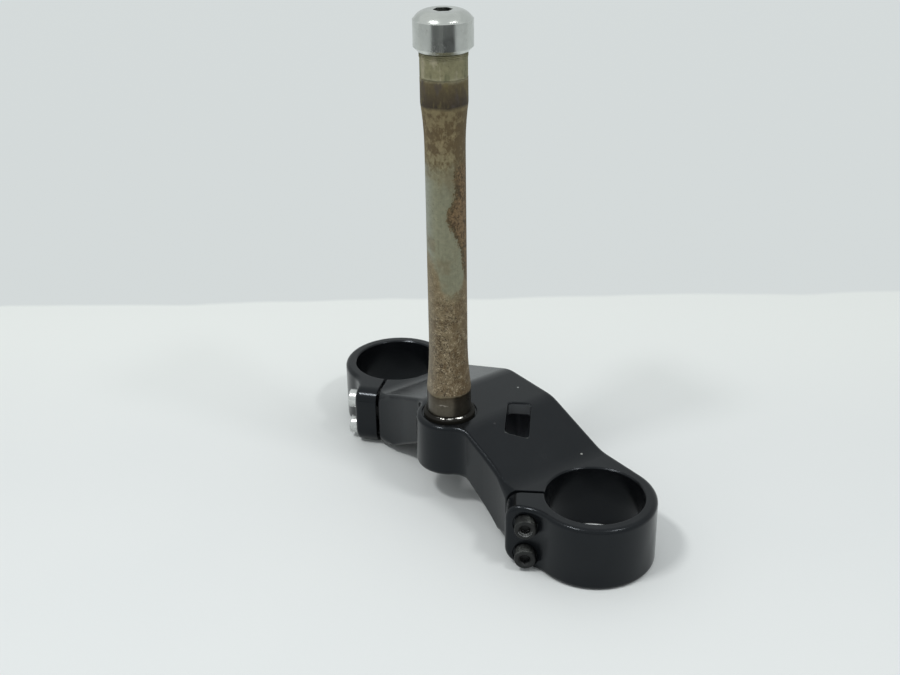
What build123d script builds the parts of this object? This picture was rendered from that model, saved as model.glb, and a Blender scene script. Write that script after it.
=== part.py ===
from build123d import *
import os
from math import atan2, cos, radians, sin, sqrt, tan

# Motorcycle lower triple clamp: a cast yoke with two split fork clamps, the steering stem pressed into it,
# the ring that the lower bearing sits on, the stem's cap bolt and the four pinch bolts.
# Frame in millimetres: +Z up along the stem, +Y forward to the forks, +X to the rider's right.
# The origin is on the stem's axis at the lower bearing seat.

# Fork clamps
fork_spacing = 216.5
fork_offset = 30.0
fork_diameter = 60.0
clamp_wall = 7.5
clamp_height = 42.0
bore_chamfer = 0.8

# Heights of the casting, each from the clamps' top faces
seat_over_clamps = 20.8
crown_rise = 17.8
hub_drop = 18.0

# Gull-wing plate: flat crown, sloping wings, straight front and rear walls
crown_half_width = 23.0
crown_round = 30.0
foot_overlap = 1.75
foot_round = 30.0
hub_half_width = 27.0
hub_round = 15.0
keel_gap = 0.5
keel_round = 30.0
flare_run = 28.5
flare_rise = 3.4
edge_round = 2.8

# Stem boss
boss_diameter = 43.2
boss_blend = 12.0
ring_recess_gap = 1.3
ring_recess_depth = 1.0

# Pinch ears and their slits
slit_angle = 49.0
slit_width = 2.4
ear_reach = 53.0
ear_thickness = 16.6
ear_round_start = 3.5
ear_top_share = 0.8
ear_flat = 6.4
flank_run = 13.5
flank_end_round = 3.0

# Pinch bolts
bolt_diameter = 8.0
bolt_length = 30.0
bolt_head_diameter = 13.0
bolt_head_height = 8.0
bolt_socket = 6.0
bolt_socket_depth = 4.0
bolt_socket_mouth = 8.2
bolt_edge = 1.0
bolt_tip_chamfer = 0.6
bolt_reach = 40.5
bolt_drop = 12.0
bolt_rise = 9.0
spotface_diameter = 15.4
spotface_depth = 1.2
bolt_clearance = 0.5
thread_clearance = 0.05
thread_run_out = 3.0

# Lock slot through the right wing
slot_radius = 44.3
slot_angle = 42.0
slot_width = 15.0
slot_length = 29.5
slot_round = 3.0
slot_rim_round = 1.0

# Hollow underside
skin = 8.5
front_wall = 14.0
rear_wall = 7.0
spine_width = 8.0
cross_rib_width = 5.0
clamp_backing = 1.5
flank_wall = 3.0
pocket_round = 3.0

# Steering stem
seat_diameter = 28.0
thread_step = 0.1
shaft_diameter = 24.2
stem_bore = 17.0
lower_seat_length = 16.2
lower_taper_length = 33.0
shaft_length = 125.0
upper_taper_length = 27.6
upper_seat_length = 14.7
thread_length = 15.0
stem_chamfer = 0.8
undercut_depth = 0.3
relief_depth = 0.5
relief_width = 1.0
press_step = 1.0
press_clearance = 0.02
flange_width = 2.5
flange_thickness = 3.0

# Seat ring
ring_width = 2.5
ring_edge = 1.5
ring_clearance = 0.05

# Stem cap bolt
cap_diameter = 34.8
cap_height = 18.4
cap_dome = 4.3
cap_crown_diameter = 17.0
cap_chamfer = 2.4
cap_edge = 0.8
cap_socket = 10.0
cap_socket_depth = 9.0
spigot_diameter = 24.0
spigot_height = 0.5
shank_diameter = 19.0
shank_length = 26.0

# Limits for picking edges and faces: a match of places, and the rise of a normal on tops and undersides
match = 0.01
level_rise = 0.3

# Heights and places that follow from the sizes
clamp_top = -seat_over_clamps
clamp_bottom = clamp_top - clamp_height
clamp_middle = clamp_top - clamp_height / 2
crown_top = clamp_top + crown_rise
hub_bottom = clamp_top - hub_drop
recess_floor = crown_top - ring_recess_depth
lower_taper_top = lower_seat_length + lower_taper_length
upper_taper_bottom = lower_taper_top + shaft_length
upper_seat_bottom = upper_taper_bottom + upper_taper_length
upper_seat_top = upper_seat_bottom + upper_seat_length
stem_top = upper_seat_top + thread_length
cap_base = stem_top + spigot_height
cap_rim = cap_base + cap_height
cap_top = cap_rim + cap_dome
thread_diameter = seat_diameter - 2 * thread_step
undercut_diameter = seat_diameter - 2 * undercut_depth
relief_diameter = seat_diameter - 2 * relief_depth
press_diameter = seat_diameter + 2 * press_step
flange_diameter = press_diameter + 2 * flange_width
ring_diameter = seat_diameter + 2 * ring_width
ring_recess_diameter = ring_diameter + 2 * ring_recess_gap
fork_x = fork_spacing / 2
bore_radius = fork_diameter / 2
clamp_radius = bore_radius + clamp_wall
front_y = fork_offset + clamp_radius
foot_x = fork_x - clamp_radius + foot_overlap
keel_x = fork_x - clamp_radius - keel_gap
boss_radius = boss_diameter / 2
reach = fork_x + clamp_radius
slit_cos = cos(radians(slit_angle))
slit_sin = sin(radians(slit_angle))
ear_tip_x = fork_x - ear_reach * slit_cos
ear_tip_y = fork_offset - ear_reach * slit_sin
rear_y = ear_tip_y + flare_rise
flare_start_x = ear_tip_x - flare_run
flare_radius = (flare_run**2 + flare_rise**2) / (2 * flare_rise)
ear_bottom_round = ear_reach - clamp_radius - ear_round_start
ear_top_round = ear_bottom_round * ear_top_share
ear_root = sqrt(clamp_radius**2 - ear_thickness**2)
ear_blend_end = ear_reach - ear_flat
ear_blend = (ear_blend_end**2 - ear_root**2) / (2 * (clamp_radius - ear_thickness))
wing_slope = crown_rise / (foot_x - crown_half_width)
keel_angle = atan2(clamp_height - hub_drop, keel_x - hub_half_width)
keel_start_x = keel_x + keel_round * tan(keel_angle / 2)
bolt_heights = (clamp_top - bolt_drop, clamp_bottom + bolt_rise)
bolt_seat = ear_thickness - spotface_depth
flank_depth = bolt_length - bolt_seat + thread_run_out + flank_wall
hollow_rear = rear_y + rear_wall
hollow_front = front_y - front_wall
flank_end = (fork_offset + flank_depth * slit_cos - hollow_rear) / slit_sin
flank_foot_x = fork_x - flank_end * slit_cos - flank_depth * slit_sin
sides = {"right": 1, "left": -1}


def slit_plane(side):
    """Plane of a clamp's slit: local y is up, and its normal is the bolts' axis, towards their heads."""
    return Plane(
        origin=(side * fork_x, fork_offset, 0),
        x_dir=(slit_cos, side * slit_sin, 0),
        z_dir=(side * slit_sin, -slit_cos, 0),
    )


def from_fork_axis(side, distance, height):
    """Point of a slit plane at this distance outward from the fork's axis."""
    return (-side * distance, height)


def beside_slit(point):
    """Whether a point lies on one of the two faces of a slit."""
    return any(abs(slit_plane(side).to_local_coords(point).Z) < slit_width for side in sides.values())


def runs_along(edge, direction):
    """Whether an edge is a straight line in this direction."""
    return edge.geom_type == GeomType.LINE and abs((edge % 0).dot(direction)) > 1 - match


def lies_on_top(edge):
    """Whether an edge runs along the crown or a wing's top, not down the skin or on the hollow's ceiling."""
    middle = edge @ 0.5
    wing_top = crown_top - wing_slope * max(0, abs(middle.X) - crown_half_width)
    return not runs_along(edge, Vector(0, 0, 1)) and middle.Z > wing_top - skin / 2


def pinch_ear(side):
    """Ear of one clamp: drawn in plan, blended into the clamp, kept within its rounded side view."""
    outward = (-side * slit_cos, -slit_sin, 0)
    with BuildPart() as ear:
        with BuildSketch(Plane((side * fork_x, fork_offset, clamp_bottom), outward, (0, 0, 1))):
            with BuildLine():
                blend_end = Vector(ear_blend_end, side * ear_thickness)
                blend_center = Vector(ear_blend_end, side * (ear_thickness + ear_blend))
                blend_root = blend_center * (clamp_radius / (clamp_radius + ear_blend))
                face_end = Vector(ear_reach, side * ear_thickness)
                Polyline(blend_root, (0, 0), (ear_reach, 0), face_end, blend_end)
                TangentArc(blend_end, blend_root, tangent=(-1, 0))
            make_face()
        extrude(amount=clamp_height)
        with BuildSketch(slit_plane(side)) as outline:
            with Locations(from_fork_axis(side, ear_reach / 2, clamp_middle)):
                Rectangle(ear_reach, clamp_height)
            tip = outline.vertices().sort_by(lambda corner: -abs(corner.X))[:2].sort_by(Axis.Y)
            fillet(tip[1], ear_top_round)
            tip = outline.vertices().sort_by(Axis.Y)[:2].sort_by(lambda corner: -abs(corner.X))
            fillet(tip[0], ear_bottom_round)
        extrude(amount=clamp_radius, both=True, mode=Mode.INTERSECT)
    return ear.part


def flank_corner(side, run, top):
    """Face of what lies outside a flank's rounded corner, in the section at this run from the slit."""
    wall_x = ear_tip_x - run
    out = flare_radius - sqrt(flare_radius**2 - (wall_x - flare_start_x) ** 2)
    step = rear_y - out - ear_tip_y
    distance = ear_reach + run * slit_cos - step * slit_sin
    across = run * slit_sin + step * slit_cos
    round_size = ear_top_round if top else ear_bottom_round
    round_size += (flank_end_round - round_size) * run / flank_run
    if top:
        height = clamp_top + wing_slope * max(0, foot_x - wall_x)
    else:
        height = clamp_bottom + keel_round - sqrt(keel_round**2 - (keel_start_x - wall_x) ** 2)
    into = -1 if top else 1
    with BuildSketch(slit_plane(side).offset(-across)) as corner:
        with BuildLine():
            level_end = from_fork_axis(side, distance - round_size, height)
            upright_end = from_fork_axis(side, distance, height + into * round_size)
            TangentArc(level_end, upright_end, tangent=(-side, 0))
            Polyline(
                upright_end,
                from_fork_axis(side, distance + edge_round, height + into * round_size),
                from_fork_axis(side, distance + edge_round, height - into * edge_round),
                from_fork_axis(side, distance - round_size, height - into * edge_round),
                level_end,
            )
        make_face()
    return corner.sketch.face()


def gull_points(lowered, bottom_hub, bottom_clamp):
    """Corners of the yoke's front view, from the left end over the crown and back along the underside."""
    return [
        (-reach, clamp_top - lowered),
        (-foot_x, clamp_top - lowered),
        (-crown_half_width, crown_top - lowered),
        (crown_half_width, crown_top - lowered),
        (foot_x, clamp_top - lowered),
        (reach, clamp_top - lowered),
        (reach, bottom_clamp),
        (keel_x, bottom_clamp),
        (hub_half_width, bottom_hub),
        (-hub_half_width, bottom_hub),
        (-keel_x, bottom_clamp),
        (-reach, bottom_clamp),
    ]


top_rounds = [0, foot_round, crown_round, crown_round, foot_round, 0]
bottom_rounds = [0, keel_round, hub_round, hub_round, keel_round, 0]

# Casting core: the hollow under each wing, up to the skin, between the walls and ribs
with BuildPart() as core:
    with BuildSketch(Plane.XY.offset(clamp_bottom)) as wing_cell:
        with BuildLine():
            Polyline(
                (spine_width / 2, hollow_rear),
                (flank_foot_x - cross_rib_width, hollow_rear),
                (flank_foot_x - cross_rib_width, hollow_front),
                (spine_width / 2, hollow_front),
                close=True,
            )
        make_face()
        Circle(boss_radius, mode=Mode.SUBTRACT)
        fillet(wing_cell.vertices(), pocket_round)
    with BuildSketch(Plane.XY.offset(clamp_bottom)) as clamp_cell:
        with BuildLine():
            Polyline(
                (flank_foot_x, hollow_rear),
                (flank_foot_x + flank_end * slit_cos, hollow_rear + flank_end * slit_sin),
                (fork_x, hollow_front),
                (flank_foot_x, hollow_front),
                close=True,
            )
        make_face()
        with Locations((fork_x, fork_offset)):
            Circle(clamp_radius + clamp_backing, mode=Mode.SUBTRACT)
        fillet(clamp_cell.vertices(), pocket_round)
    extrude(amount=crown_top - clamp_bottom)
    with BuildSketch(Plane.XZ):
        with BuildLine():
            FilletPolyline(
                *gull_points(skin, clamp_bottom, clamp_bottom)[:6],
                (reach, clamp_bottom),
                (-reach, clamp_bottom),
                radius=top_rounds + [0, 0],
                close=True,
            )
        make_face()
    extrude(amount=front_y, both=True, mode=Mode.INTERSECT)

# Pinch ears, one on the outer side of each slit
ears = {side: pinch_ear(side) for side in sides.values()}

# Yoke casting
with BuildPart() as yoke:
    # Plan: front wall from clamp to clamp, rear wall out to the slits, boss behind
    with BuildSketch(Plane.XY.offset(clamp_bottom)) as plan:
        with BuildLine():
            Polyline(
                (-ear_tip_x, ear_tip_y),
                (-fork_x, fork_offset),
                (-fork_x, front_y),
                (fork_x, front_y),
                (fork_x, fork_offset),
                (ear_tip_x, ear_tip_y),
            )
            TangentArc((flare_start_x, rear_y), (ear_tip_x, ear_tip_y), tangent=(1, 0))
            Line((flare_start_x, rear_y), (-flare_start_x, rear_y))
            TangentArc((-flare_start_x, rear_y), (-ear_tip_x, ear_tip_y), tangent=(-1, 0))
        make_face()
        Circle(boss_radius)
        with Locations((fork_x, fork_offset), (-fork_x, fork_offset)):
            Circle(clamp_radius)
        rear_corners = plan.vertices().filter_by_position(Axis.Y, rear_y - match, rear_y + match)
        rear_corners = rear_corners.sort_by(lambda corner: abs(corner.X))
        fillet(rear_corners[:2], boss_blend)
    extrude(amount=crown_top - clamp_bottom)

    # Front view: crown, sloping wings and the raised underside
    with BuildSketch(Plane.XZ):
        with BuildLine():
            FilletPolyline(
                *gull_points(0, hub_bottom, clamp_bottom),
                radius=top_rounds + bottom_rounds,
                close=True,
            )
        make_face()
    extrude(amount=front_y, both=True, mode=Mode.INTERSECT)

    # Pinch ears and the slits
    for side in sides.values():
        add(ears[side])
    for side in sides.values():
        with BuildSketch(slit_plane(side)):
            with Locations(from_fork_axis(side, ear_reach, clamp_middle)):
                Rectangle(2 * (ear_reach - bore_radius / 2), 2 * clamp_height)
        extrude(amount=slit_width / 2, both=True, mode=Mode.SUBTRACT)

    # Outer edges rounded as cast: where an outside wall meets a top or an underside, and down the ear tips
    level = yoke.faces().filter_by(lambda face: abs(face.normal_at().Z) > level_rise)
    walls = yoke.faces().filter_by(lambda face: abs(face.normal_at().Z) <= level_rise)
    walls = walls.filter_by(lambda face: not beside_slit(face.center()))
    rims = level.edges() & walls.edges()
    for side in sides.values():
        rims = rims.filter_by(lambda edge: not runs_along(edge, slit_plane(side).z_dir))
        tip = slit_plane(side).from_local_coords(Vector(-side * ear_reach, clamp_middle, ear_thickness))
        rims += yoke.edges().filter_by(Axis.Z).sort_by_distance(tip)[:1]
    fillet(rims, edge_round)

    # Flank corners beside the slits, rounded like the ears' and fading out along the flare
    for side in sides.values():
        for top in (True, False):
            sections = [flank_corner(side, run, top) for run in (0, flank_run / 2, flank_run)]
            loft(sections, ruled=True, mode=Mode.SUBTRACT)

    # Hollow underside, one core under each wing
    add(core.part, mode=Mode.SUBTRACT)
    add(core.part.mirror(Plane.YZ), mode=Mode.SUBTRACT)

    # Fork bores with broken edges
    fork_axes = ((fork_x, fork_offset), (-fork_x, fork_offset))
    with BuildSketch(Plane.XY.offset(clamp_bottom)):
        with Locations(*fork_axes):
            Circle(bore_radius)
    extrude(amount=clamp_height, mode=Mode.SUBTRACT)
    for rim, inward in ((clamp_bottom, 1), (clamp_top, -1)):
        with BuildSketch(Plane.XY.offset(rim)):
            with Locations(*fork_axes):
                Circle(bore_radius + bore_chamfer)
        extrude(amount=inward * bore_chamfer, taper=45, mode=Mode.SUBTRACT)

    # Stem bore through the boss, with the seat ring's recess above and the stem flange's below
    with Locations((0, 0, crown_top)):
        CounterBoreHole(
            press_diameter / 2 + press_clearance,
            ring_recess_diameter / 2,
            ring_recess_depth,
            depth=crown_top - hub_bottom,
        )
    with BuildSketch(Plane.XY.offset(hub_bottom)):
        Circle(flange_diameter / 2 + press_clearance)
    extrude(amount=flange_thickness, mode=Mode.SUBTRACT)

    # Pinch bolt holes: spotface and clearance hole in the ear, threaded hole in the flank
    for side in sides.values():
        axes = [from_fork_axis(side, bolt_reach, height) for height in bolt_heights]
        with BuildSketch(slit_plane(side).offset(bolt_seat)):
            with Locations(*axes):
                Circle(spotface_diameter / 2)
        extrude(amount=bolt_head_height, mode=Mode.SUBTRACT)
        with BuildSketch(slit_plane(side)):
            with Locations(*axes):
                Circle(bolt_diameter / 2 + bolt_clearance)
        extrude(amount=bolt_seat, mode=Mode.SUBTRACT)
        with BuildSketch(slit_plane(side)):
            with Locations(*axes):
                Circle(bolt_diameter / 2 + thread_clearance)
        extrude(amount=-(flank_depth - flank_wall), mode=Mode.SUBTRACT)

    # Lock slot through the right wing's skin, its upper rim rounded
    slot_turn = radians(slot_angle)
    slot_center = Location((slot_radius * sin(slot_turn), slot_radius * cos(slot_turn), 0), -slot_angle)
    with BuildSketch(Plane.XY.offset(clamp_top - skin)):
        with Locations(slot_center):
            RectangleRounded(slot_length, slot_width, slot_round)
    extrude(amount=crown_rise + skin, mode=Mode.SUBTRACT)
    fillet(yoke.edges(Select.LAST).filter_by(lies_on_top), slot_rim_round)

# Steering stem, turned and bored: flange and press seat in the boss, bearing seats, waisted shaft, thread
with BuildPart() as stem:
    with BuildSketch(Plane.XZ):
        with BuildLine():
            Polyline(
                (shaft_diameter / 2, lower_taper_top),
                (shaft_diameter / 2, upper_taper_bottom),
            )
            TangentArc(
                (shaft_diameter / 2, upper_taper_bottom),
                (seat_diameter / 2, upper_seat_bottom),
                tangent=(0, 1),
            )
            Polyline(
                (seat_diameter / 2, upper_seat_bottom),
                (seat_diameter / 2, upper_seat_top),
                (relief_diameter / 2, upper_seat_top),
                (relief_diameter / 2, upper_seat_top + relief_width),
                (thread_diameter / 2, upper_seat_top + relief_width),
                (thread_diameter / 2, stem_top - stem_chamfer),
                (thread_diameter / 2 - stem_chamfer, stem_top),
                (shank_diameter / 2 + thread_clearance, stem_top),
                (shank_diameter / 2 + thread_clearance, stem_top - shank_length - thread_run_out),
                (stem_bore / 2, stem_top - shank_length - thread_run_out),
                (stem_bore / 2, hub_bottom),
                (flange_diameter / 2, hub_bottom),
                (flange_diameter / 2, hub_bottom + flange_thickness),
                (press_diameter / 2, hub_bottom + flange_thickness),
                (press_diameter / 2, recess_floor),
                (undercut_diameter / 2, recess_floor),
                (undercut_diameter / 2, 0),
                (seat_diameter / 2, 0),
                (seat_diameter / 2, lower_seat_length),
            )
            TangentArc(
                (shaft_diameter / 2, lower_taper_top),
                (seat_diameter / 2, lower_seat_length),
                tangent=(0, -1),
            )
        make_face()
    revolve(axis=Axis.Z)

# Seat ring round the stem's foot: the lower bearing sits on its top face, at z = 0
with BuildPart() as seat_ring:
    with BuildSketch(Plane.XY.offset(recess_floor)):
        Circle(ring_diameter / 2)
        Circle(seat_diameter / 2 + ring_clearance, mode=Mode.SUBTRACT)
    extrude(amount=-recess_floor)
    chamfer(seat_ring.edges().group_by(Axis.Z)[-1].sort_by(SortBy.LENGTH)[-1], ring_edge)

# Cap bolt: domed head with a hex socket, a spigot that bears on the stem's top, threaded shank below
with BuildPart() as stem_bolt:
    with BuildSketch(Plane.XZ):
        with BuildLine():
            Polyline(
                (0, cap_top),
                (0, stem_top - shank_length),
                (shank_diameter / 2, stem_top - shank_length),
                (shank_diameter / 2, stem_top),
                (spigot_diameter / 2, stem_top),
                (spigot_diameter / 2, cap_base),
                (cap_diameter / 2 - cap_chamfer, cap_base),
                (cap_diameter / 2, cap_base + cap_chamfer),
                (cap_diameter / 2, cap_rim - cap_edge),
                (cap_diameter / 2 - cap_edge, cap_rim),
            )
            TangentArc(
                (cap_crown_diameter / 2, cap_top),
                (cap_diameter / 2 - cap_edge, cap_rim),
                tangent=(1, 0),
            )
            Line((cap_crown_diameter / 2, cap_top), (0, cap_top))
        make_face()
    revolve(axis=Axis.Z)
    with BuildSketch(Plane.XY.offset(cap_top)):
        RegularPolygon(cap_socket / 2, 6, major_radius=False)
    extrude(amount=-cap_socket_depth, mode=Mode.SUBTRACT)


def pinch_bolt(side, height):
    """Socket-head bolt on its axis in a clamp's ear, seated in the spotface."""
    seat = slit_plane(side).from_local_coords(Vector(-side * bolt_reach, height, bolt_seat))
    base = Plane(origin=seat, x_dir=(0, 0, 1), z_dir=slit_plane(side).z_dir)
    with BuildPart() as bolt:
        with BuildSketch(base):
            Circle(bolt_head_diameter / 2)
        extrude(amount=bolt_head_height)
        fillet(bolt.edges().filter_by(GeomType.CIRCLE).sort_by(Axis(base.origin, base.z_dir))[-1], bolt_edge)
        with BuildSketch(base.offset(bolt_head_height)):
            RegularPolygon(bolt_socket / 2, 6, major_radius=False)
        extrude(amount=-bolt_socket_depth, mode=Mode.SUBTRACT)
        with BuildSketch(base.offset(bolt_head_height)):
            Circle(bolt_socket_mouth / 2)
        extrude(amount=-(bolt_socket_mouth - bolt_socket) / 2, taper=45, mode=Mode.SUBTRACT)
        with BuildSketch(base):
            Circle(bolt_diameter / 2)
        extrude(amount=-bolt_length)
        tip = bolt.edges().filter_by(GeomType.CIRCLE).sort_by(Axis(base.origin, base.z_dir))[0]
        chamfer(tip, bolt_tip_chamfer)
    return bolt.part


pieces = {
    "lower_yoke": yoke.part,
    "steering_stem": stem.part,
    "seat_ring": seat_ring.part,
    "stem_bolt": stem_bolt.part,
}
for side_name, side in sides.items():
    for level_name, height in zip(("upper", "lower"), bolt_heights):
        pieces[f"pinch_bolt_{side_name}_{level_name}"] = pinch_bolt(side, height)

os.makedirs("parts", exist_ok=True)
for name, piece in pieces.items():
    piece.label = name
    export_step(piece, f"parts/{name}.step")
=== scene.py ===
import bpy
import numpy as np
from mathutils import Matrix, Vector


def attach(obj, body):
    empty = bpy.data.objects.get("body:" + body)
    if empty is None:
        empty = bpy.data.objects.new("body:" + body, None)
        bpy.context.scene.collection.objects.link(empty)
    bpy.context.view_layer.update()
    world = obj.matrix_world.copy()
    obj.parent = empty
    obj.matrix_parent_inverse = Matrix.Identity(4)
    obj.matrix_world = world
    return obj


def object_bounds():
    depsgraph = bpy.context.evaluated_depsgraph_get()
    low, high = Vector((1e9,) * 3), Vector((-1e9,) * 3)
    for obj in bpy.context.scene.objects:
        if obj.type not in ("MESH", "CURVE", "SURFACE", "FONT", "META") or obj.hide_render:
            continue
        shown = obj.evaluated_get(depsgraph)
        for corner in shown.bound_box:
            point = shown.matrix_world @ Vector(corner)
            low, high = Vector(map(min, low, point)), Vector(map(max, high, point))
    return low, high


# Motorcycle lower triple clamp on a pale cloth: camera, soft light, finishes and the thread under the cap.
# Metres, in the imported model's frame: +Z up along the stem, +Y forward to the forks, +X to the rider's right.

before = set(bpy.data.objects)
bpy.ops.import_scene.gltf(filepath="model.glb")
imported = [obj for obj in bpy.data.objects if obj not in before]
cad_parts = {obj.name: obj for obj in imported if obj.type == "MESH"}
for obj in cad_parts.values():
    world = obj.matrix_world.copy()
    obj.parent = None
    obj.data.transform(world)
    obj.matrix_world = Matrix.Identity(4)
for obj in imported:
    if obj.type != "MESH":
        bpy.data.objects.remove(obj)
cad_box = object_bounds()

# Sizes and places on the part, as in its solids

FLOOR_Z = float(cad_box[0][2])
FORK_X, FORK_Y = 0.10825, 0.030

SLIT_TURN = np.radians(49.0)
BOLT_REACH = 0.0405
BOLT_SEAT, HEAD_HEIGHT = 0.0154, 0.0080
UPPER_BOLT_Z, LOWER_BOLT_Z = -0.0328, -0.0538

SLOT_TURN = np.radians(42.0)
SLOT_OUT = np.array([np.sin(SLOT_TURN), np.cos(SLOT_TURN), 0.0])
SLOT_ALONG = np.array([-np.cos(SLOT_TURN), np.sin(SLOT_TURN), 0.0])
SLOT_RADIUS = 0.0443
SLOT_HALF_LENGTH, SLOT_HALF_WIDTH = 0.01475, 0.0075

CROWN_HALF_WIDTH, WING_SLOPE = 0.023, 0.3596
CROWN_TOP_Z, SKIN = -0.0030, 0.0085
HOLLOW_TOP_Z = CROWN_TOP_Z - SKIN
HOLLOW_REAR, HOLLOW_FRONT, HOLLOW_END = 0.0004, 0.0535, 0.0510

RING_RADIUS = 0.0165
LOWER_SEAT_TOP_Z = 0.0162
UPPER_SEAT_LOW_Z, UPPER_SEAT_TOP_Z = 0.2018, 0.2165

# The photo's view

VIEW_TURN, VIEW_TILT, VIEW_ROLL = np.radians([55.224, 25.037, 0.901])
TOWARDS_VIEW = np.array([np.sin(VIEW_TURN), -np.cos(VIEW_TURN), 0.0])
ACROSS_VIEW = np.array([np.cos(VIEW_TURN), np.sin(VIEW_TURN), 0.0])
CAMERA_PLACE = (0.5772, -0.3990, 0.4035)
LENS_MM, SENSOR_MM = 50.155, 36.0
PICTURE_WIDTH_PX, MIDDLE_DROP_PX = 900, 37.5

BLACK = (0.0, 0.0, 0.0)


class Bench:
    """A node tree with short ways to place nodes and join them."""

    def __init__(self, tree):
        self.tree = tree

    def place(self, kind, **settings):
        made = self.tree.nodes.new(kind)
        for name, value in settings.items():
            setattr(made, name, value)
        return made

    def put(self, socket, value):
        """Joins a socket to another, or sets it to a plain value."""
        if isinstance(value, bpy.types.NodeSocket):
            self.tree.links.new(value, socket)
        else:
            socket.default_value = value

    def math(self, operation, first, second=0.0, third=0.0, clamp=False):
        made = self.place("ShaderNodeMath", operation=operation, use_clamp=clamp)
        for socket, value in zip(made.inputs, (first, second, third)):
            self.put(socket, value)
        return made.outputs[0]

    def product(self, first, *others):
        """All values multiplied."""
        for other in others:
            first = self.math("MULTIPLY", first, other)
        return first

    def vector_math(self, operation, first, second):
        made = self.place("ShaderNodeVectorMath", operation=operation)
        self.put(made.inputs[0], first)
        self.put(made.inputs[1], second)
        return made.outputs["Value"]

    def dot(self, vector, direction):
        """How far a vector goes along a plain direction."""
        return self.vector_math("DOT_PRODUCT", vector, tuple(float(v) for v in direction))

    def distance(self, first, second):
        return self.vector_math("DISTANCE", first, second)

    def parts(self, vector):
        """X, Y and Z of a vector."""
        made = self.place("ShaderNodeSeparateXYZ")
        self.put(made.inputs[0], vector)
        return [made.outputs[axis] for axis in "XYZ"]

    def span(self, value, low, high, to_low=0.0, to_high=1.0, smooth=True):
        """Value between two limits, clamped and, unless told otherwise, eased, onto another range."""
        made = self.place("ShaderNodeMapRange", clamp=True)
        made.interpolation_type = "SMOOTHSTEP" if smooth else "LINEAR"
        for socket, given in zip(made.inputs, (value, low, high, to_low, to_high)):
            self.put(socket, given)
        return made.outputs["Result"]

    def within(self, value, low, full_from, full_to, high):
        """Mask that rises from low to full_from and falls again from full_to to high."""
        return self.product(self.span(value, low, full_from), self.span(value, high, full_to))

    def near(self, value, middle, out, full):
        """Mask of a line about a middle value, from nothing at one distance from it to full at another."""
        return self.span(self.math("ABSOLUTE", self.math("SUBTRACT", value, middle)), out, full)

    def noise(self, where, scale, detail=3.0, roughness=0.55):
        made = self.place("ShaderNodeTexNoise")
        self.put(made.inputs["Vector"], where)
        self.put(made.inputs["Scale"], scale)
        self.put(made.inputs["Detail"], detail)
        self.put(made.inputs["Roughness"], roughness)
        return made.outputs["Fac"]

    def stretch(self, where, scale):
        """Coordinates scaled by axis."""
        made = self.place("ShaderNodeMapping")
        self.put(made.inputs["Vector"], where)
        self.put(made.inputs["Scale"], scale)
        return made.outputs["Vector"]

    def blend(self, factor, first, second):
        """Colour mix."""
        made = self.place("ShaderNodeMix", data_type="RGBA")
        self.put(made.inputs["Factor"], factor)
        for name, colour in (("A", first), ("B", second)):
            plain = not isinstance(colour, bpy.types.NodeSocket)
            self.put(made.inputs[name], (*colour, 1.0) if plain else colour)
        return made.outputs["Result"]

    def lay(self, under, over, *masks):
        """A colour laid over another as far as the masks, multiplied, let it."""
        return self.blend(self.product(*masks), under, over)

    def shade(self, colour, value):
        """Colour times a value."""
        made = self.place("ShaderNodeMix", data_type="RGBA", blend_type="MULTIPLY")
        made.inputs["Factor"].default_value = 1.0
        self.put(made.inputs["A"], colour)
        self.put(made.inputs["B"], value)
        return made.outputs["Result"]

    def ramp(self, value, stops):
        """Colour ramp through (place, colour) stops."""
        made = self.place("ShaderNodeValToRGB")
        steps = made.color_ramp.elements
        while len(steps) < len(stops):
            steps.new(1.0)
        for step, (at, colour) in zip(steps, stops):
            step.position = at
            step.color = (*colour, 1.0)
        self.put(made.inputs["Fac"], value)
        return made.outputs["Color"]

    def curve(self, value, points):
        """Float curve through points."""
        made = self.place("ShaderNodeFloatCurve")
        line = made.mapping.curves[0]
        while len(line.points) < len(points):
            line.points.new(0.5, 0.5)
        for point, at in zip(line.points, points):
            point.location = at
        made.mapping.update()
        self.put(made.inputs["Value"], value)
        return made.outputs["Value"]

    def effect(self, group, **values):
        """A shared effect placed in this tree with its own values."""
        made = self.place("ShaderNodeGroup", node_tree=group)
        for name, value in values.items():
            self.put(made.inputs[name], value)
        return made.outputs

    def seen(self):
        """Mask of rays from the camera, off mirrors and through glass, as against those that light."""
        path = self.place("ShaderNodeLightPath").outputs
        mirrored = self.math("MAXIMUM", path["Is Glossy Ray"], path["Is Transmission Ray"])
        return self.math("MAXIMUM", path["Is Camera Ray"], mirrored)


def shared_effect(name, inputs, outputs):
    """Empty node group with named inputs (name, kind, value) and value outputs."""
    group = bpy.data.node_groups.new(name, "ShaderNodeTree")
    for socket_name, kind, value in inputs:
        socket = group.interface.new_socket(socket_name, in_out="INPUT", socket_type="NodeSocket" + kind)
        if value is not None:
            socket.default_value = value
    for socket_name in outputs:
        group.interface.new_socket(socket_name, in_out="OUTPUT", socket_type="NodeSocketFloat")
    bench = Bench(group)
    return group, bench, bench.place("NodeGroupInput").outputs, bench.place("NodeGroupOutput").inputs


# Shared effects

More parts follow.
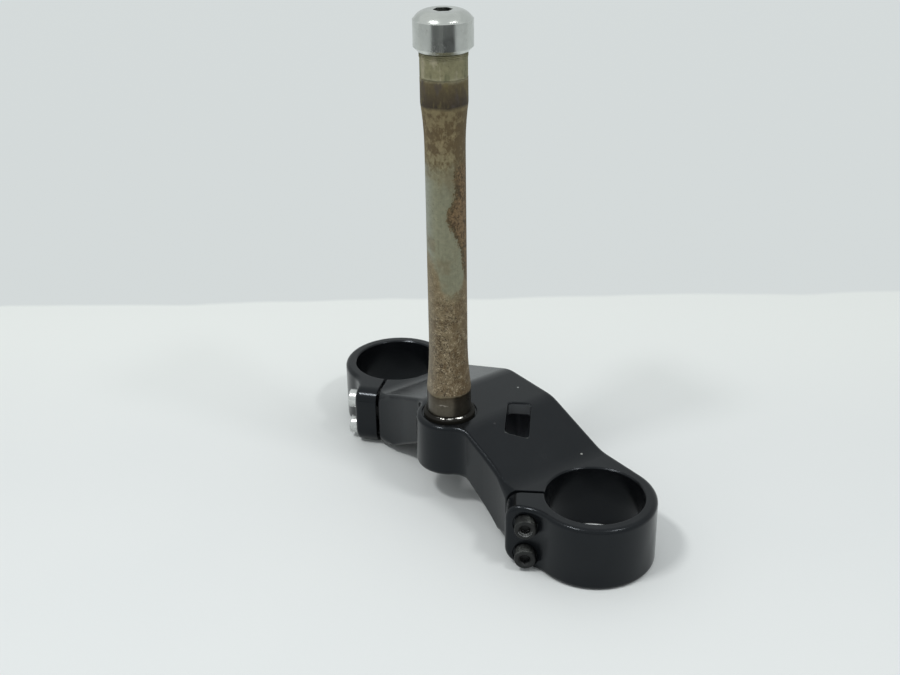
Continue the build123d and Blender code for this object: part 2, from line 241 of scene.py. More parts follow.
def make_coat_grain():
    """Fine orange-peel of a coat: two sizes of noise, as a height and as a slow change of tone."""
    group, bench, given, put_out = shared_effect(
        "coat_grain",
        [("Where", "Vector", None), ("Fine", "Float", 1600.0), ("Slow", "Float", 45.0)],
        ["Height", "Tone"],
    )
    fine = bench.noise(given["Where"], given["Fine"], 2.0, 0.5)
    middle = bench.noise(given["Where"], bench.product(given["Fine"], 0.3), 2.0, 0.5)
    height = bench.math("ADD", bench.product(fine, 0.6), bench.product(middle, 0.4))
    bench.put(put_out["Height"], height)
    slow = bench.noise(given["Where"], given["Slow"], 4.0, 0.6)
    bench.put(put_out["Tone"], bench.span(slow, 0.32, 0.68, smooth=False))
    return group


def make_edge_wear():
    """Worn edges: where the normal turns away from a rounded normal within reach, broken up by noise."""
    group, bench, given, put_out = shared_effect(
        "edge_wear",
        [
            ("Where", "Vector", None),
            ("Reach", "Float", 0.0006),
            ("Break", "Float", 700.0),
            ("Amount", "Float", 0.5),
        ],
        ["Mask"],
    )
    rounded = bench.place("ShaderNodeBevel", samples=6)
    bench.put(rounded.inputs["Radius"], given["Reach"])
    plain = bench.place("ShaderNodeNewGeometry").outputs["Normal"]
    turn = bench.vector_math("DOT_PRODUCT", rounded.outputs["Normal"], plain)
    edge = bench.span(turn, 0.985, 0.86)
    broken = bench.noise(given["Where"], given["Break"], 3.0, 0.6)
    level = bench.math("SUBTRACT", 0.75, bench.product(given["Amount"], 0.5))
    kept = bench.span(bench.math("SUBTRACT", broken, level), 0.0, 0.12)
    bench.put(put_out["Mask"], bench.product(edge, kept))
    return group


def make_speckle():
    """Specks: noise cut at a level set by the cover, with a coarse noise that gathers them in clouds."""
    group, bench, given, put_out = shared_effect(
        "speckle",
        [
            ("Where", "Vector", None),
            ("Fine", "Float", 900.0),
            ("Clouds", "Float", 120.0),
            ("Cover", "Float", 0.4),
            ("Soft", "Float", 0.06),
        ],
        ["Mask", "Height"],
    )
    fine = bench.noise(given["Where"], given["Fine"], 3.0, 0.6)
    clouds = bench.noise(given["Where"], given["Clouds"], 3.0, 0.55)
    both = bench.math("ADD", bench.product(fine, 0.65), bench.product(clouds, 0.35))
    level = bench.span(given["Cover"], 0.0, 1.0, 0.68, 0.32, smooth=False)
    over = bench.math("SUBTRACT", both, level)
    mask = bench.math("DIVIDE", over, given["Soft"])
    bench.put(put_out["Mask"], bench.math("ADD", mask, 0.5, clamp=True))
    bench.put(put_out["Height"], fine)
    return group


def make_settled_dust():
    """Dust on faces that look up: rise of the normal times a patchy noise and a fine one."""
    group, bench, given, put_out = shared_effect(
        "settled_dust",
        [("Where", "Vector", None), ("Amount", "Float", 0.3)],
        ["Mask"],
    )
    normal = bench.place("ShaderNodeNewGeometry").outputs["Normal"]
    rise = bench.span(bench.dot(normal, (0, 0, 1)), 0.3, 1.0)
    patches = bench.span(bench.noise(given["Where"], 60.0, 4.0, 0.6), 0.35, 0.75)
    fine = bench.span(bench.noise(given["Where"], 1400.0, 2.0, 0.6), 0.4, 0.75)
    mask = bench.product(rise, patches, fine)
    bench.put(put_out["Mask"], bench.math("MULTIPLY", mask, given["Amount"], clamp=True))
    return group


def make_chip():
    """One chip: inside a ragged ball about a centre."""
    group, bench, given, put_out = shared_effect(
        "chip",
        [("Where", "Vector", None), ("Centre", "Vector", None), ("Size", "Float", 0.0006)],
        ["Mask"],
    )
    away = bench.distance(given["Where"], given["Centre"])
    ragged = bench.product(bench.noise(given["Where"], 1500.0, 3.0, 0.6), given["Size"])
    edge = bench.math("SUBTRACT", bench.math("ADD", away, ragged), bench.product(given["Size"], 1.5))
    bench.put(put_out["Mask"], bench.span(edge, 0.00012, -0.00012))
    return group


coat_grain = make_coat_grain()
edge_wear = make_edge_wear()
speckle = make_speckle()
settled_dust = make_settled_dust()
chip = make_chip()


# Finishes

def new_finish(name):
    """Empty material with its shader and the object's own coordinates."""
    finish = bpy.data.materials.new(name)
    finish.use_nodes = True
    bench = Bench(finish.node_tree)
    shader = finish.node_tree.nodes["Principled BSDF"]
    where = bench.place("ShaderNodeTexCoord").outputs["Object"]
    return finish, bench, shader.inputs, where


def set_bump(bench, shader, height, strength, depth, rounding=0.0):
    """Bump from a height, over edges rounded by a small radius where one is given."""
    bump = bench.place("ShaderNodeBump")
    if rounding:
        soft = bench.place("ShaderNodeBevel", samples=6)
        soft.inputs["Radius"].default_value = rounding
        bench.put(bump.inputs["Normal"], soft.outputs["Normal"])
    bump.inputs["Strength"].default_value = strength
    bump.inputs["Distance"].default_value = depth
    bench.put(bump.inputs["Height"], height)
    bench.put(shader["Normal"], bump.outputs["Normal"])


def under_wings(bench, where):
    """Mask of the skin inside the hollows under both wings, up to a ceiling that falls away outwards."""
    x, y, z = bench.parts(where)
    out = bench.math("ABSOLUTE", x)
    past_crown = bench.math("MAXIMUM", bench.math("SUBTRACT", out, CROWN_HALF_WIDTH), 0.0)
    ceiling = bench.math("MULTIPLY_ADD", past_crown, -WING_SLOPE, HOLLOW_TOP_Z)
    inside = bench.span(bench.math("SUBTRACT", z, ceiling), 0.0012, 0.0002)
    in_depth = bench.within(
        y, HOLLOW_REAR + 0.0004, HOLLOW_REAR + 0.0010, HOLLOW_FRONT + 0.0003, HOLLOW_FRONT + 0.0007)
    in_width = bench.within(out, 0.0, 0.001, HOLLOW_END - 0.0002, HOLLOW_END + 0.0002)
    return bench.product(inside, in_depth, in_width)


def slot_masks(bench, where):
    """Masks of the lock slot's far end wall, painted lighter as where it is lit, and of a painted highlight
    along the rim at its other end.
    """
    z = bench.parts(where)[2]
    along = bench.dot(where, SLOT_ALONG)
    across = bench.math("ABSOLUTE", bench.math("SUBTRACT", bench.dot(where, SLOT_OUT), SLOT_RADIUS))
    past_end = bench.math("SUBTRACT", along, SLOT_HALF_LENGTH)
    painted_lit_end_wall = bench.product(
        bench.within(past_end, -0.00275, -0.00075, 0.00015, 0.00045),
        bench.span(z, HOLLOW_TOP_Z - 0.0001, HOLLOW_TOP_Z + 0.0003),
        bench.span(z, CROWN_TOP_Z - 0.0008, CROWN_TOP_Z - 0.0016),
        bench.span(across, SLOT_HALF_WIDTH + 0.0010, SLOT_HALF_WIDTH + 0.0003),
    )
    painted_rim_highlight = bench.product(
        bench.near(along, -SLOT_HALF_LENGTH - 0.00035, 0.0008, 0.0003),
        bench.span(across, SLOT_HALF_WIDTH + 0.0005, SLOT_HALF_WIDTH - 0.0009),
        bench.span(z, HOLLOW_TOP_Z - 0.0010, HOLLOW_TOP_Z),
    )
    return painted_lit_end_wall, painted_rim_highlight


def satin_black_coat():
    """Cast aluminium under a satin black coat, faintly dusty, chipped to the metal in two places."""
    scuff_centre = (0.028, 0.0155, -0.004)
    chip_centres = ((0.0018, 0.0545, -0.003), (0.0699, 0.0523, -0.0199))
    finish, bench, shader, where = new_finish("satin_black_coat")
    grain = bench.effect(coat_grain, Where=where, Fine=1500.0, Slow=38.0)
    colour = bench.blend(grain["Tone"], (0.0036, 0.0042, 0.0050), (0.0056, 0.0064, 0.0074))
    dust = bench.effect(settled_dust, Where=where, Amount=0.12)["Mask"]
    colour = bench.lay(colour, (0.055, 0.057, 0.060), dust)
    wear = bench.effect(edge_wear, Where=where, Reach=0.0005, Break=500.0, Amount=0.35)["Mask"]
    colour = bench.lay(colour, (0.08, 0.08, 0.08), wear, 0.25)
    scuff = bench.effect(chip, Where=where, Centre=scuff_centre, Size=0.0011)["Mask"]
    colour = bench.lay(colour, (0.16, 0.16, 0.16), scuff, 0.15)
    first, second = (bench.effect(chip, Where=where, Centre=at, Size=0.0007)["Mask"] for at in chip_centres)
    bare = bench.math("MAXIMUM", first, second)
    colour = bench.lay(colour, (0.42, 0.42, 0.40), bare)

    # Dull skin of the hollows under the wings, then the lock slot
    inside = under_wings(bench, where)
    colour = bench.lay(colour, (0.050, 0.052, 0.060), inside)
    painted_lit_end_wall, painted_rim_highlight = slot_masks(bench, where)
    # Painted light: the slot's far end wall laid lighter, as where it catches the light
    colour = bench.lay(colour, (0.090, 0.096, 0.100), painted_lit_end_wall)
    # Painted highlight: a light line along the rim at the slot's near end
    colour = bench.lay(colour, (0.085, 0.090, 0.086), painted_rim_highlight, 0.6)
    bench.put(shader["Base Color"], colour)

    rough = bench.span(grain["Tone"], 0.0, 1.0, 0.16, 0.24, smooth=False)
    rough = bench.math("ADD", rough, bench.product(dust, 0.3))
    bench.put(shader["Roughness"], bench.math("MULTIPLY_ADD", inside, 0.35, rough))
    bench.put(shader["Metallic"], bare)
    shader["Specular IOR Level"].default_value = 0.27
    shader["Specular Tint"].default_value = (0.87, 0.935, 1.0, 1.0)
    set_bump(bench, shader, grain["Height"], 0.25, 0.00012, rounding=0.0008)
    return finish


def angle_about_stem(bench, where):
    """Angle about the stem from the side that faces the camera, positive to the right."""
    return bench.math("ARCTAN2", bench.dot(where, ACROSS_VIEW), bench.dot(where, TOWARDS_VIEW))


def stem_bands(bench, where, height, uneven):
    """The stem's colour by its uneven height, with blotches on the two bands at the top."""
    ramp_low, ramp_high = -0.05, 0.25
    stops = [
        (0.0, (0.090, 0.080, 0.062)),
        (0.0075, (0.095, 0.083, 0.064)),
        (LOWER_SEAT_TOP_Z - 0.0036, (0.080, 0.066, 0.048)),
        (LOWER_SEAT_TOP_Z - 0.0026, (0.050, 0.036, 0.022)),
        (LOWER_SEAT_TOP_Z - 0.0016, (0.200, 0.165, 0.105)),
        (LOWER_SEAT_TOP_Z - 0.0006, (0.155, 0.117, 0.068)),
        (0.0900, (0.204, 0.161, 0.090)),
        (0.1650, (0.200, 0.176, 0.098)),
        (0.1800, (0.202, 0.162, 0.085)),
        (UPPER_SEAT_LOW_Z - 0.0018, (0.176, 0.141, 0.070)),
        (UPPER_SEAT_LOW_Z - 0.0003, (0.030, 0.021, 0.012)),
        (UPPER_SEAT_LOW_Z + 0.0042, (0.050, 0.037, 0.019)),
        (UPPER_SEAT_TOP_Z - 0.0010, (0.094, 0.073, 0.034)),
        (UPPER_SEAT_TOP_Z + 0.0005, (0.270, 0.255, 0.165)),
        (UPPER_SEAT_TOP_Z + 0.0020, (0.200, 0.188, 0.106)),
        (UPPER_SEAT_TOP_Z + 0.0120, (0.190, 0.178, 0.101)),
    ]
    along = bench.span(uneven, ramp_low, ramp_high, smooth=False)
    bands = bench.ramp(along, [((z - ramp_low) / (ramp_high - ramp_low), colour) for z, colour in stops])

    blotch = bench.noise(bench.stretch(where, (190.0, 190.0, 60.0)), 1.0, 3.0, 0.55)
    beige = bench.span(height, UPPER_SEAT_TOP_Z, UPPER_SEAT_TOP_Z + 0.0013)
    bands = bench.lay(bands, (0.105, 0.108, 0.056), beige, bench.span(blotch, 0.50, 0.68, 0.0, 0.75))
    bands = bench.lay(bands, (0.300, 0.275, 0.190), beige, bench.span(blotch, 0.46, 0.32, 0.0, 0.75))
    brown = bench.within(
        height, UPPER_SEAT_LOW_Z - 0.0006, UPPER_SEAT_LOW_Z + 0.0004,
        UPPER_SEAT_TOP_Z - 0.0007, UPPER_SEAT_TOP_Z + 0.0003)
    bands = bench.lay(bands, (0.058, 0.046, 0.038), brown, bench.span(blotch, 0.46, 0.34, 0.0, 0.8))
    return bench.lay(bands, (0.112, 0.090, 0.036), brown, bench.span(blotch, 0.52, 0.66, 0.0, 0.8))


def shaft_masks(bench, height, angle, ragged, fine):
    """Masks of the shaft's bare patch, ragged at its ends, and of the rust that cuts it off on the right,
    with the angle past the border between them."""
    lower_edge = bench.curve(bench.span(angle, -1.2, 1.2, smooth=False), [
        (0.0, 0.78), (0.24, 0.62), (0.37, 0.28), (0.58, 0.08), (0.75, 0.16), (0.92, 0.42), (1.0, 0.50),
    ])
    patch_foot = bench.span(lower_edge, 0.0, 1.0, 0.076, 0.116, smooth=False)
    wavy = bench.math("MULTIPLY_ADD", ragged, 0.03, height)
    patch_low = bench.span(bench.math("SUBTRACT", wavy, patch_foot), -0.004, 0.006)
    patch_high = bench.span(wavy, 0.170, 0.152)
    turned_away = bench.math("MULTIPLY_ADD", ragged, 1.2, bench.math("ABSOLUTE", angle))
    facing = bench.span(turned_away, 2.0, 1.6)

    right_edge = bench.curve(bench.span(height, 0.08, 0.18, smooth=False), [
        (0.00, 0.96), (0.14, 0.90), (0.22, 0.84), (0.32, 0.76), (0.40, 0.64), (0.47, 0.52), (0.51, 0.42),
        (0.55, 0.41), (0.62, 0.51), (0.70, 0.62), (0.80, 0.60), (0.90, 0.66), (1.00, 0.70),
    ])
    border = bench.span(right_edge, 0.0, 1.0, -0.90, 1.25, smooth=False)
    crumbled = bench.math("MULTIPLY_ADD", bench.math("SUBTRACT", fine, 0.5), 0.9, angle)
    past = bench.math("SUBTRACT", crumbled, border)
    rusty = bench.product(
        bench.span(past, -0.06, 0.10),
        bench.within(height, 0.086, 0.098, 0.160, 0.172),
        bench.span(angle, 2.7, 2.2),
    )
    bare = bench.product(patch_low, patch_high, facing, bench.math("SUBTRACT", 1.0, rusty))
    return bare, rusty, past


def stained_stem_steel():
    """Turned steel, banded olive and brown at the top, a bare patch on the shaft, rust beside and below."""
    finish, bench, shader, where = new_finish("stained_stem_steel")
    height = bench.parts(where)[2]
    angle = angle_about_stem(bench, where)
    ragged = bench.math("SUBTRACT", bench.noise(where, 90.0, 4.0, 0.6), 0.5)
    fine = bench.noise(where, 420.0, 4.0, 0.65)
    uneven = bench.math("MULTIPLY_ADD", ragged, 0.004, height)
    colour = stem_bands(bench, where, height, uneven)

    # Bare patch on the shaft: grey-green, streaked along the stem
    bare, rusty, past = shaft_masks(bench, height, angle, ragged, fine)
    streak = bench.noise(bench.stretch(where, (700.0, 700.0, 25.0)), 1.0, 3.0, 0.6)
    steel = bench.blend(streak, (0.190, 0.188, 0.122), (0.275, 0.272, 0.192))
    # Painted sheen: the bare steel lighter towards the left of the view
    steel = bench.lay(steel, (0.290, 0.305, 0.260), bench.span(angle, -0.5, -1.2, 0.0, 0.7))
    browned = bench.span(bench.noise(where, 55.0, 3.0, 0.5), 0.50, 0.64, 0.0, 0.55)
    steel = bench.lay(steel, (0.185, 0.150, 0.090), browned)
    colour = bench.lay(colour, steel, bare)

    # Soft brown clouds above the bare patch, heavier to the right
    around = bench.math("SUBTRACT", 1.0, bare)
    above = bench.within(height, 0.150, 0.166, UPPER_SEAT_LOW_Z - 0.0048, UPPER_SEAT_LOW_Z + 0.0002)
    tuft = bench.noise(bench.stretch(where, (300.0, 300.0, 220.0)), 1.0, 4.0, 0.68)
    cloud = bench.math("ADD", tuft, bench.span(angle, 0.1, 0.9, 0.0, 0.10))
    under_seat = bench.product(bench.span(height, 0.172, 0.180, 0.0, 0.07), bench.span(height, 0.194, 0.188))
    cloud = bench.span(bench.math("ADD", cloud, under_seat), 0.42, 0.62)
    colour = bench.lay(colour, (0.082, 0.054, 0.022), cloud, above, around, 0.85)

    # Speckled rust below, light specks and dark specks on tan, thinning out upwards, and a painted sheen that
    # makes it paler on the left of the view
    thinning = bench.product(bench.span(height, 0.124, 0.050, 0.10, 1.0), bench.span(height, 0.150, 0.125))
    over_foot = bench.span(height, LOWER_SEAT_TOP_Z - 0.0016, LOWER_SEAT_TOP_Z - 0.0006)
    below = bench.product(over_foot, thinning, around)
    dark = bench.effect(speckle, Where=where, Fine=900.0, Clouds=150.0, Cover=0.42, Soft=0.09)
    shifted = bench.stretch(where, (1.0, 1.0, 1.02))
    light = bench.effect(speckle, Where=shifted, Fine=1100.0, Clouds=190.0, Cover=0.35, Soft=0.07)
    colour = bench.lay(colour, (0.036, 0.022, 0.010), dark["Mask"], below, 0.90)
    colour = bench.lay(colour, (0.440, 0.365, 0.240), light["Mask"], below, 0.58)
    brown_tuft = bench.math("ADD", tuft, bench.span(angle, 0.0, 0.8, 0.0, 0.10))
    colour = bench.lay(colour, (0.105, 0.068, 0.030), bench.span(brown_tuft, 0.48, 0.64, 0.0, 0.7), below)
    # Painted sheen: paler towards the left of the view
    colour = bench.lay(colour, (0.235, 0.212, 0.165), bench.span(angle, -0.45, -1.15, 0.0, 0.45), below)

    # The darker rust patch beside the bare steel, darkest along its border
    mottled = bench.effect(speckle, Where=where, Fine=700.0, Clouds=190.0, Cover=0.48, Soft=0.16)["Mask"]
    rust = bench.blend(mottled, (0.185, 0.122, 0.060), (0.052, 0.032, 0.013))
    rust = bench.lay(rust, (0.050, 0.040, 0.016), bench.within(past, -0.04, 0.05, 0.12, 0.34), 0.6)
    colour = bench.lay(colour, rust, rusty)

    # A painted highlight: a light line half way up the foot, left of the middle of the view
    highlight_line_z = 0.0087
    line = bench.near(uneven, highlight_line_z, 0.0007, 0.0001)
    in_front = bench.within(angle, -0.62, -0.30, -0.10, 0.05)
    colour = bench.lay(colour, (0.340, 0.310, 0.270), line, in_front, bench.span(fine, 0.40, 0.56), 0.8)

    # A few brown freckles on the bare steel and the bands above
    banded = bench.span(height, UPPER_SEAT_LOW_Z + 0.0012, UPPER_SEAT_LOW_Z + 0.0042)
    clean = bench.math("MAXIMUM", bare, banded)
    freckle = bench.effect(speckle, Where=where, Fine=800.0, Clouds=90.0, Cover=0.16, Soft=0.05)["Mask"]
    colour = bench.lay(colour, (0.085, 0.062, 0.034), freckle, clean, 0.6)
    tone = bench.span(fine, 0.25, 0.75, 0.80, 1.20, smooth=False)
    bench.put(shader["Base Color"], bench.shade(colour, tone))

    foot = bench.span(height, LOWER_SEAT_TOP_Z - 0.0007, LOWER_SEAT_TOP_Z - 0.0022)
    smooth_steel = bench.math("MAXIMUM", bench.product(bare, 0.55), foot)
    bench.put(shader["Metallic"], bench.product(smooth_steel, 0.9))
    rough = bench.span(smooth_steel, 0.0, 1.0, 0.68, 0.30, smooth=False)
    bench.put(shader["Roughness"], bench.math("MULTIPLY_ADD", ragged, 0.15, rough))
    shader["Specular IOR Level"].default_value = 0.35
    pits = bench.product(bench.math("MAXIMUM", below, rusty), dark["Height"])
    set_bump(bench, shader, bench.math("MULTIPLY_ADD", streak, 0.12, pits), 0.5, 0.0002)
    return finish


def turned_ring_steel():
    """Turned steel, stained nearly black, with bright bare metal in broken arcs along its edge only on the side
    that faces the camera: a painted highlight.
    """
    finish, bench, shader, where = new_finish("turned_ring_steel")
    # Painted highlight: bright edge metal kept to the side facing the camera
    front = bench.within(angle_about_stem(bench, where), -0.60, -0.46, 0.50, 0.76)
    radius = bench.distance(bench.stretch(where, (1.0, 1.0, 0.0)), (0.0, 0.0, 0.0))
    edge = bench.near(radius, RING_RADIUS - 0.0012, 0.0005, 0.0001)
    broken = bench.span(bench.noise(where, 420.0, 3.0, 0.6), 0.42, 0.58)
    stain = bench.math("SUBTRACT", 1.0, bench.product(edge, front, broken))
    turned = bench.noise(bench.stretch(where, (40.0, 40.0, 3000.0)), 1.0, 2.0, 0.5)
    bench.put(shader["Base Color"], bench.blend(stain, (0.62, 0.61, 0.57), (0.010, 0.009, 0.007)))
    rough = bench.span(turned, 0.2, 0.8, 0.22, 0.34)
    bench.put(shader["Roughness"], bench.math("MULTIPLY_ADD", stain, 0.25, rough))
    bench.put(shader["Metallic"], bench.span(stain, 0.0, 1.0, 1.0, 0.0))
    shader["Specular IOR Level"].default_value = 0.12
    set_bump(bench, shader, turned, 0.15, 0.00005)
    return finish


def cap_plating():
    """Bright plating, turned, with faint scuffs and brightened edges."""
    finish, bench, shader, where = new_finish("cap_plating")
    turned = bench.noise(bench.stretch(where, (25.0, 25.0, 2600.0)), 1.0, 3.0, 0.6)
    drawn = bench.stretch(where, (1.0, 1.0, 0.4))
    scuff = bench.effect(speckle, Where=drawn, Fine=1100.0, Clouds=130.0, Cover=0.26, Soft=0.08)["Mask"]
    haze = bench.span(bench.noise(where, 70.0, 4.0, 0.6), 0.35, 0.7)
    colour = bench.blend(haze, (0.60, 0.615, 0.585), (0.52, 0.535, 0.51))
    colour = bench.lay(colour, (0.40, 0.40, 0.37), scuff, 0.45)
    wear = bench.effect(edge_wear, Where=where, Reach=0.0006, Break=400.0, Amount=0.8)["Mask"]
    bench.put(shader["Base Color"], bench.lay(colour, (0.86, 0.87, 0.86), wear, 0.5))
    rough = bench.math("MULTIPLY_ADD", scuff, 0.12, bench.span(haze, 0.0, 1.0, 0.13, 0.20))
    bench.put(shader["Roughness"], bench.math("MULTIPLY_ADD", turned, 0.05, rough))
    shader["Metallic"].default_value = 1.0
    set_bump(bench, shader, bench.math("MULTIPLY_ADD", scuff, -0.3, turned), 0.025, 0.00005)
    return finish


def bolt_axis(side):
    """Direction of a clamp's pinch bolts, towards their heads, and how far the fork's axis lies along it."""
    axis = np.array([side * np.sin(SLIT_TURN), -np.cos(SLIT_TURN), 0.0])
    return axis, float(axis @ np.array([side * FORK_X, FORK_Y, 0.0]))


def dark_oxide_bolt():
    """Dark oxide screws, dusty and painted lighter on top of the head, with bright bare metal on the lower half
    of each socket's rim: key wear, partly a painted highlight.
    """
    finish, bench, shader, where = new_finish("dark_oxide_bolt")
    z = bench.parts(where)[2]
    grain = bench.effect(coat_grain, Where=where, Fine=1800.0, Slow=160.0)
    colour = bench.blend(grain["Tone"], (0.009, 0.0095, 0.0095), (0.018, 0.019, 0.0185))
    specks = bench.effect(speckle, Where=where, Fine=1500.0, Clouds=300.0, Cover=0.34, Soft=0.10)["Mask"]
    axis, offset = bolt_axis(1)
    from_slit = bench.math("SUBTRACT", bench.dot(where, axis), offset)
    head = bench.span(from_slit, BOLT_SEAT - 0.0004, BOLT_SEAT + 0.0011)
    colour = bench.lay(colour, (0.050, 0.052, 0.048), specks, head, 0.25)
    # Dust on the head, laid so heavily that its upward faces come out lighter: settled dust and painted light
    # from above
    dust = bench.effect(settled_dust, Where=where, Amount=6.0)["Mask"]
    colour = bench.lay(colour, (0.115, 0.122, 0.115), dust, head)

    # Bright bare metal on the lower half of each socket's rim, the upper bolt's most: wear from the key, laid
    # only where that half faces up to the light, so partly a painted highlight
    wear = bench.effect(edge_wear, Where=where, Reach=0.00045, Break=600.0, Amount=0.95)["Mask"]
    along_slit = np.array([-np.cos(SLIT_TURN), -np.sin(SLIT_TURN), 0.0])
    face = np.array([FORK_X, FORK_Y, 0.0]) + BOLT_REACH * along_slit + (BOLT_SEAT + HEAD_HEIGHT) * axis
    worn_rim_and_highlight = 0.0
    for bolt_z, amount in ((UPPER_BOLT_Z, 1.0), (LOWER_BOLT_Z, 0.15)):
        near = bench.span(bench.distance(where, tuple(face + (0.0, 0.0, bolt_z))), 0.0052, 0.0046)
        lower = bench.span(bench.math("SUBTRACT", z, bolt_z), 0.0, -0.0015)
        worn_rim_and_highlight = bench.math("MULTIPLY_ADD", bench.product(near, lower), amount, worn_rim_and_highlight)
    wear = bench.span(bench.product(wear, worn_rim_and_highlight), 0.10, 0.50)
    bench.put(shader["Base Color"], bench.lay(colour, (0.90, 0.91, 0.92), wear))
    bench.put(shader["Metallic"], bench.span(wear, 0.0, 1.0, 0.0, 0.95))
    rough = bench.span(wear, 0.0, 1.0, 0.42, 0.30)
    bench.put(shader["Roughness"], bench.math("MULTIPLY_ADD", specks, 0.2, rough))
    shader["Specular IOR Level"].default_value = 0.22
    set_bump(bench, shader, grain["Height"], 0.25, 0.0001)
    return finish


def bright_zinc_bolt():
    """Bright zinc screws; the threads inside the slit are painted dark and dull, a painted shade."""
    finish, bench, shader, where = new_finish("bright_zinc_bolt")
    grain = bench.effect(coat_grain, Where=where, Fine=1500.0, Slow=140.0)
    colour = bench.blend(grain["Tone"], (0.52, 0.53, 0.52), (0.68, 0.69, 0.68))
    dull = bench.effect(speckle, Where=where, Fine=900.0, Clouds=260.0, Cover=0.30, Soft=0.10)["Mask"]
    colour = bench.lay(colour, (0.30, 0.29, 0.26), dull, 0.5)
    axis, offset = bolt_axis(-1)
    from_slit = bench.math("SUBTRACT", bench.dot(where, axis), offset)
    # Painted shade: the part of the bolt inside the narrow slit laid dark and dull
    in_slit_painted_shade = bench.span(from_slit, BOLT_SEAT - 0.0010, BOLT_SEAT - 0.0018)
    bench.put(shader["Base Color"], bench.lay(colour, (0.012, 0.011, 0.010), in_slit_painted_shade))
    bench.put(shader["Metallic"], bench.span(in_slit_painted_shade, 0.0, 1.0, 0.95, 0.2))
    rough = bench.span(in_slit_painted_shade, 0.0, 1.0, 0.27, 0.6)
    bench.put(shader["Roughness"], bench.math("MULTIPLY_ADD", dull, 0.15, rough))
    set_bump(bench, shader, grain["Height"], 0.2, 0.0001)
    return finish


def pale_backdrop():
    """White cloth on the floor, and the greyer paper beyond its far edge."""
    cloth_depth = 0.308
    finish, bench, shader, where = new_finish("pale_backdrop")
    behind = bench.product(bench.dot(where, TOWARDS_VIEW), -1.0)
    wavy = bench.math("MULTIPLY_ADD", bench.noise(where, 6.0, 2.0, 0.5), 0.03, behind)
    beyond = bench.span(wavy, cloth_depth, cloth_depth + 0.008)
    weave = bench.noise(where, 900.0, 2.0, 0.5)
    patches = bench.noise(where, 5.0, 3.0, 0.5)
    cloth = bench.blend(patches, (0.755, 0.785, 0.785), (0.800, 0.825, 0.815))
    # Painted light: the cloth lighter further back from the camera
    cloth = bench.lay(cloth, (0.860, 0.890, 0.865), bench.span(behind, 0.0, 0.30))
    paper = bench.product(beyond, bench.seen())
    bench.put(shader["Base Color"], bench.lay(cloth, BLACK, paper))
    bench.put(shader["Emission Color"], bench.lay(BLACK, (0.650, 0.690, 0.690), paper))
    shader["Emission Strength"].default_value = 1.0
    bench.put(shader["Roughness"], bench.span(weave, 0.2, 0.8, 0.85, 0.95))
    shader["Specular IOR Level"].default_value = 0.1
    set_bump(bench, shader, weave, 0.12, 0.0003)
    return finish


def dark_felt():
    """Dark felt for the card that only mirrors show, greyer in its middle and to the left."""
    finish, bench, shader, where = new_finish("dark_felt")
    beside = bench.dot(where, ACROSS_VIEW)
    felt = bench.blend(bench.noise(where, 300.0), (0.010, 0.010, 0.010), (0.020, 0.020, 0.020))
    felt = bench.lay(felt, (0.10, 0.10, 0.10), bench.span(beside, -0.30, -0.36, 0.0, 0.5))
    middle = bench.within(beside, -0.36, -0.30, -0.05, 0.01)
    bench.put(shader["Base Color"], bench.lay(felt, (0.14, 0.145, 0.14), middle))
    shader["Roughness"].default_value = 0.9
    return finish


finishes = {
    "lower_yoke": satin_black_coat(),
    "steering_stem": stained_stem_steel(),
    "seat_ring": turned_ring_steel(),
    "stem_bolt": cap_plating(),
}
dark_bolt, bright_bolt = dark_oxide_bolt(), bright_zinc_bolt()
for level in ("upper", "lower"):
    finishes["pinch_bolt_right_" + level] = dark_bolt
    finishes["pinch_bolt_left_" + level] = bright_bolt
for name, finish in finishes.items():
    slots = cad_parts[name].data.materials
    slots.clear()
    slots.append(finish)


# Thread just under the cap

def grid_mesh(name, points, finish):
    """Mesh of a grid of points, rows by columns, closed round each row, with one flat face at either end."""
    rows, columns = points.shape[:2]
    across = np.arange(columns)
    after = (across + 1) % columns
    start = np.arange(rows - 1)[:, None] * columns
    beyond = start + columns
    faces = np.stack([start + across, start + after, beyond + after, beyond + across], axis=-1).reshape(-1, 4)
    ends = [list(range(columns))[::-1], list(range((rows - 1) * columns, rows * columns))]
    mesh = bpy.data.meshes.new(name)
    mesh.from_pydata(points.reshape(-1, 3).tolist(), [], faces.tolist() + ends)
    mesh.polygons.foreach_set("use_smooth", np.ones(len(mesh.polygons), bool))
    mesh.materials.append(finish)
    mesh.update()
    piece = bpy.data.objects.new(name, mesh)
    bpy.context.scene.collection.objects.link(piece)
    return piece


def thread_under_cap():
    """Helical ridge: at turn angle a its middle is at low + pitch a / 2 pi on the band's radius, and its
    section is a rounded V, radius band + f crest max(cos s, sink), height f half sin s. The factor f is 1,
    and falls nearly to nothing over the first and last third of a turn."""
    turns, pitch, low = 3.4, 0.0010, 0.2281
    band, crest, half = 0.0139, 0.00030, 0.00036
    sink, thinnest = -0.4, 0.02
    steps, corners = 520, 10
    full_turn = 2 * np.pi
    a = np.linspace(0.0, full_turn * turns, steps)[:, None]
    s = np.linspace(0.0, full_turn, corners, endpoint=False)[None, :]
    fade = np.clip(np.minimum(a, a[-1, 0] - a) / (full_turn / 3), thinnest, 1.0)
    radius = band + fade * (crest * np.maximum(np.cos(s), sink))
    z = low + pitch * a / full_turn + fade * half * np.sin(s)
    points = np.stack([radius * np.cos(a), radius * np.sin(a), z], axis=-1)
    return grid_mesh("thread_under_cap", points, finishes["steering_stem"])


thread = thread_under_cap()
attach(thread, "root")


# Floor, lights, world and camera

def on_floor(towards, across, rise=0.0):
    """Point by the floor, from the stem: towards the camera, to the right of the view, and up."""
    return TOWARDS_VIEW * towards + ACROSS_VIEW * across + np.array([0, 0, FLOOR_Z + rise])


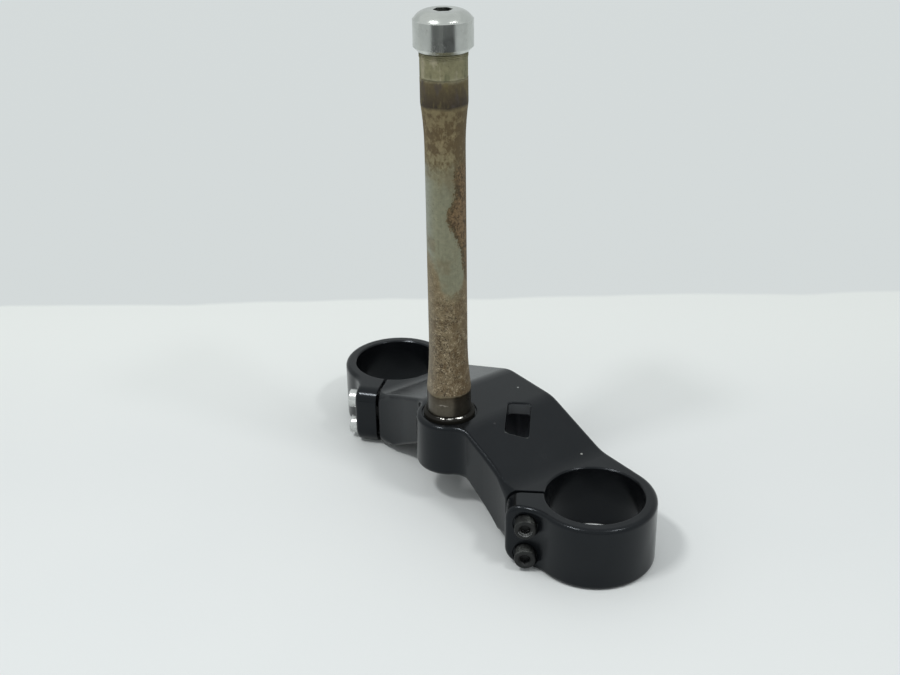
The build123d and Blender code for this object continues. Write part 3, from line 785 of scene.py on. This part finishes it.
def flat_sheet(name, corners, finish):
    """One flat face through four corners."""
    mesh = bpy.data.meshes.new(name)
    mesh.from_pydata([tuple(float(v) for v in corner) for corner in corners], [], [tuple(range(4))])
    mesh.materials.append(finish)
    sheet = bpy.data.objects.new(name, mesh)
    bpy.context.scene.collection.objects.link(sheet)
    return sheet


FLOOR_HALF = 6
floor_signs = ((-1, -1), (1, -1), (1, 1), (-1, 1))
floor_corners = [(x * FLOOR_HALF, y * FLOOR_HALF, FLOOR_Z) for x, y in floor_signs]
floor = flat_sheet("floor", floor_corners, pale_backdrop())

CARD_RISE = 0.002
card_outline = ((0.46, -0.62), (0.46, 0.62), (1.9, 1.5), (1.9, -1.5))
card_corners = [on_floor(towards, across, CARD_RISE) for towards, across in card_outline]
card = flat_sheet("dark_card", card_corners, dark_felt())
card.visible_camera = False
card.visible_diffuse = False
card.visible_shadow = False


def soft_box(name, place, size, power):
    """Area light at a place, turned to the frame's origin."""
    steep = 0.9
    lamp = bpy.data.lights.new(name, "AREA")
    lamp.shape = "RECTANGLE"
    lamp.size, lamp.size_y = size
    lamp.energy = power
    light = bpy.data.objects.new(name, lamp)
    back = place / np.linalg.norm(place)
    side = np.cross((0, 1, 0) if abs(back[2]) > steep else (0, 0, 1), back)
    side /= np.linalg.norm(side)
    turn = np.eye(4)
    turn[:3] = np.column_stack([side, np.cross(back, side), back, place])
    light.matrix_world = Matrix(turn.tolist())
    bpy.context.scene.collection.objects.link(light)


soft_box("overhead_box", on_floor(-0.20, -0.20, 1.5), size=(2.4, 2.4), power=2.2)
soft_box("left_lamp", on_floor(0.45, -0.57, 1.32), size=(0.30, 0.13), power=6.4)
soft_box("right_lamp", on_floor(0.54, 0.66, 1.22), size=(0.30, 0.13), power=3.6)


def pale_room():
    """Room: one level of light on the part, and a paler one where the room itself is seen or mirrored."""
    lit, seen_low, seen_high = 0.56, 0.72, 0.70
    world = bpy.data.worlds.new("pale_room")
    world.use_nodes = True
    bpy.context.scene.world = world
    room = Bench(world.node_tree)
    background = world.node_tree.nodes["Background"].inputs
    seen = room.seen()
    room.put(background["Color"], room.blend(seen, (0.96, 0.99, 1.0), (0.90, 0.95, 0.95)))
    rise = room.parts(room.place("ShaderNodeTexCoord").outputs["Object"])[2]
    pale = room.span(rise, 0.50, 0.62, seen_low, seen_high)
    room.put(background["Strength"], room.math("MULTIPLY_ADD", seen, room.math("SUBTRACT", pale, lit), lit))


def photo_camera():
    """Camera at the photo's place, its axes turned by the view's turn, tilt and roll."""
    right = ACROSS_VIEW
    back = np.cos(VIEW_TILT) * TOWARDS_VIEW + np.array([0.0, 0.0, np.sin(VIEW_TILT)])
    down = np.cross(right, back)
    lens = bpy.data.cameras.new("camera")
    lens.lens, lens.sensor_width = LENS_MM, SENSOR_MM
    lens.shift_y = -MIDDLE_DROP_PX / PICTURE_WIDTH_PX
    rolled_right = np.cos(VIEW_ROLL) * right + np.sin(VIEW_ROLL) * down
    rolled_up = np.sin(VIEW_ROLL) * right - np.cos(VIEW_ROLL) * down
    stand = np.eye(4)
    stand[:3] = np.column_stack([rolled_right, rolled_up, back, CAMERA_PLACE])
    camera = bpy.data.objects.new("camera", lens)
    camera.matrix_world = Matrix(stand.tolist())
    bpy.context.scene.collection.objects.link(camera)
    bpy.context.scene.camera = camera


pale_room()
photo_camera()
bpy.context.scene.view_settings.view_transform = "Standard"
